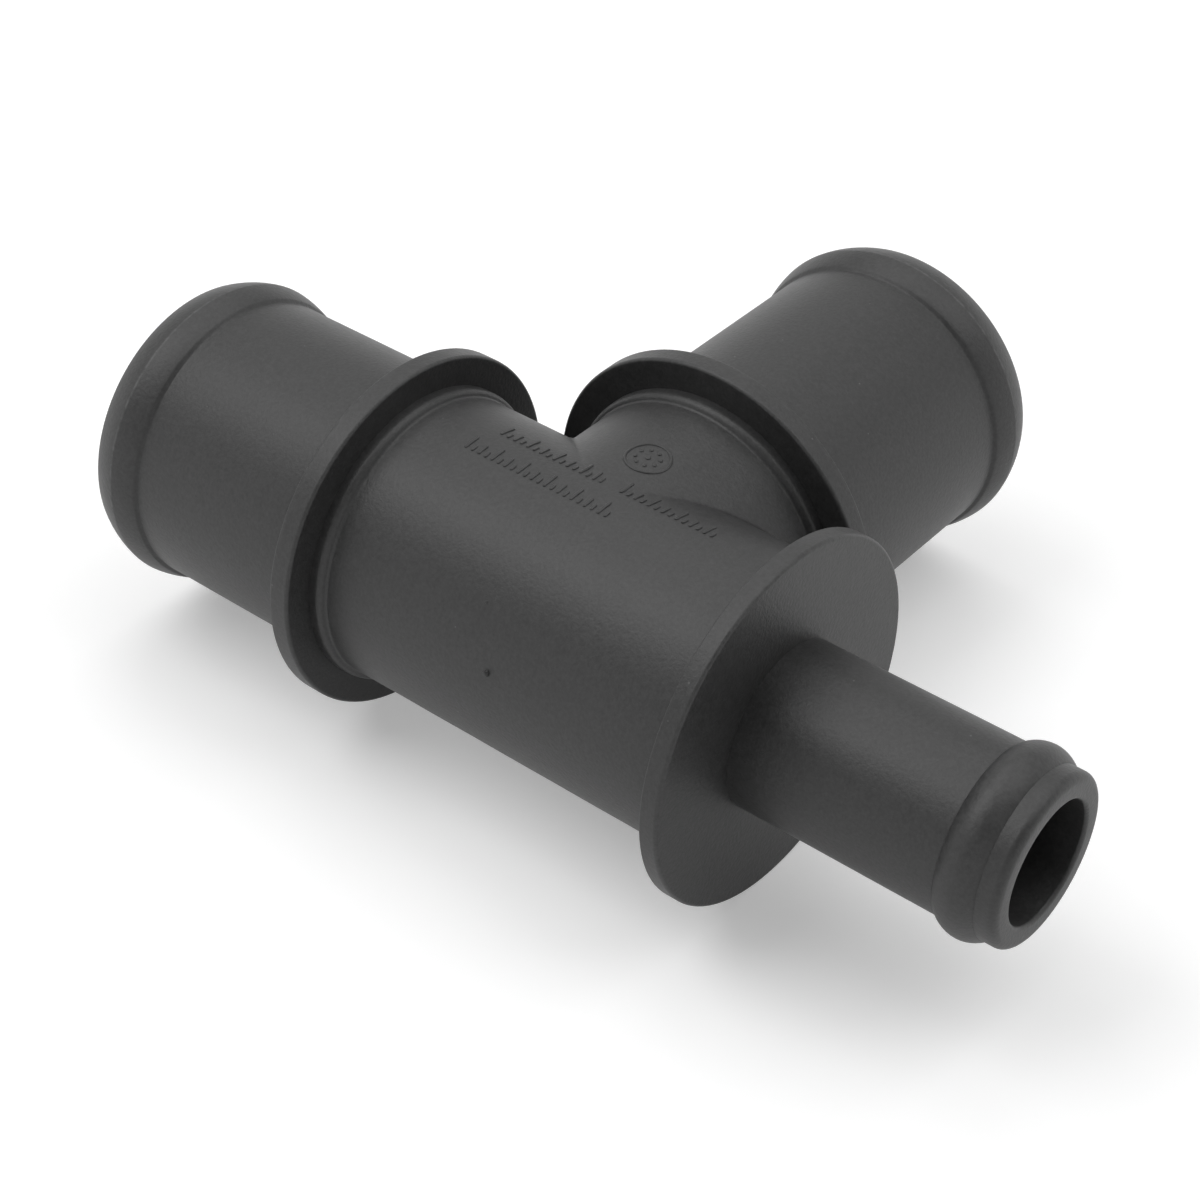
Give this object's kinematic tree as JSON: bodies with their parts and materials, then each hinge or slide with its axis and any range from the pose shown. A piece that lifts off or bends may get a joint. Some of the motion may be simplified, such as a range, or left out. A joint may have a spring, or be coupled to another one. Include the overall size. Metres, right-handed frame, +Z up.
{
  "type": "hose tee",
  "caption": "Moulded reducing hose tee: large beaded hose ends on the run and the branch, a small one opposite, round hose stops, open waterways.",
  "frame": {"origin": "middle of the outer box, on the surface that the tee's three round stops rest on", "axes": "+X along the run towards the small hose end, +Y along the branch, +Z up; all three centre lines lie 23.3 mm above the surface"},
  "size_m": [0.1284, 0.09, 0.0466],
  "materials": {
    "moulded_nylon": "matt dark grey glass-filled nylon, as moulded, with a fine even grain"
  },
  "bodies": {
    "root": {"tee_body": "moulded_nylon"}
  },
  "joints": []
}
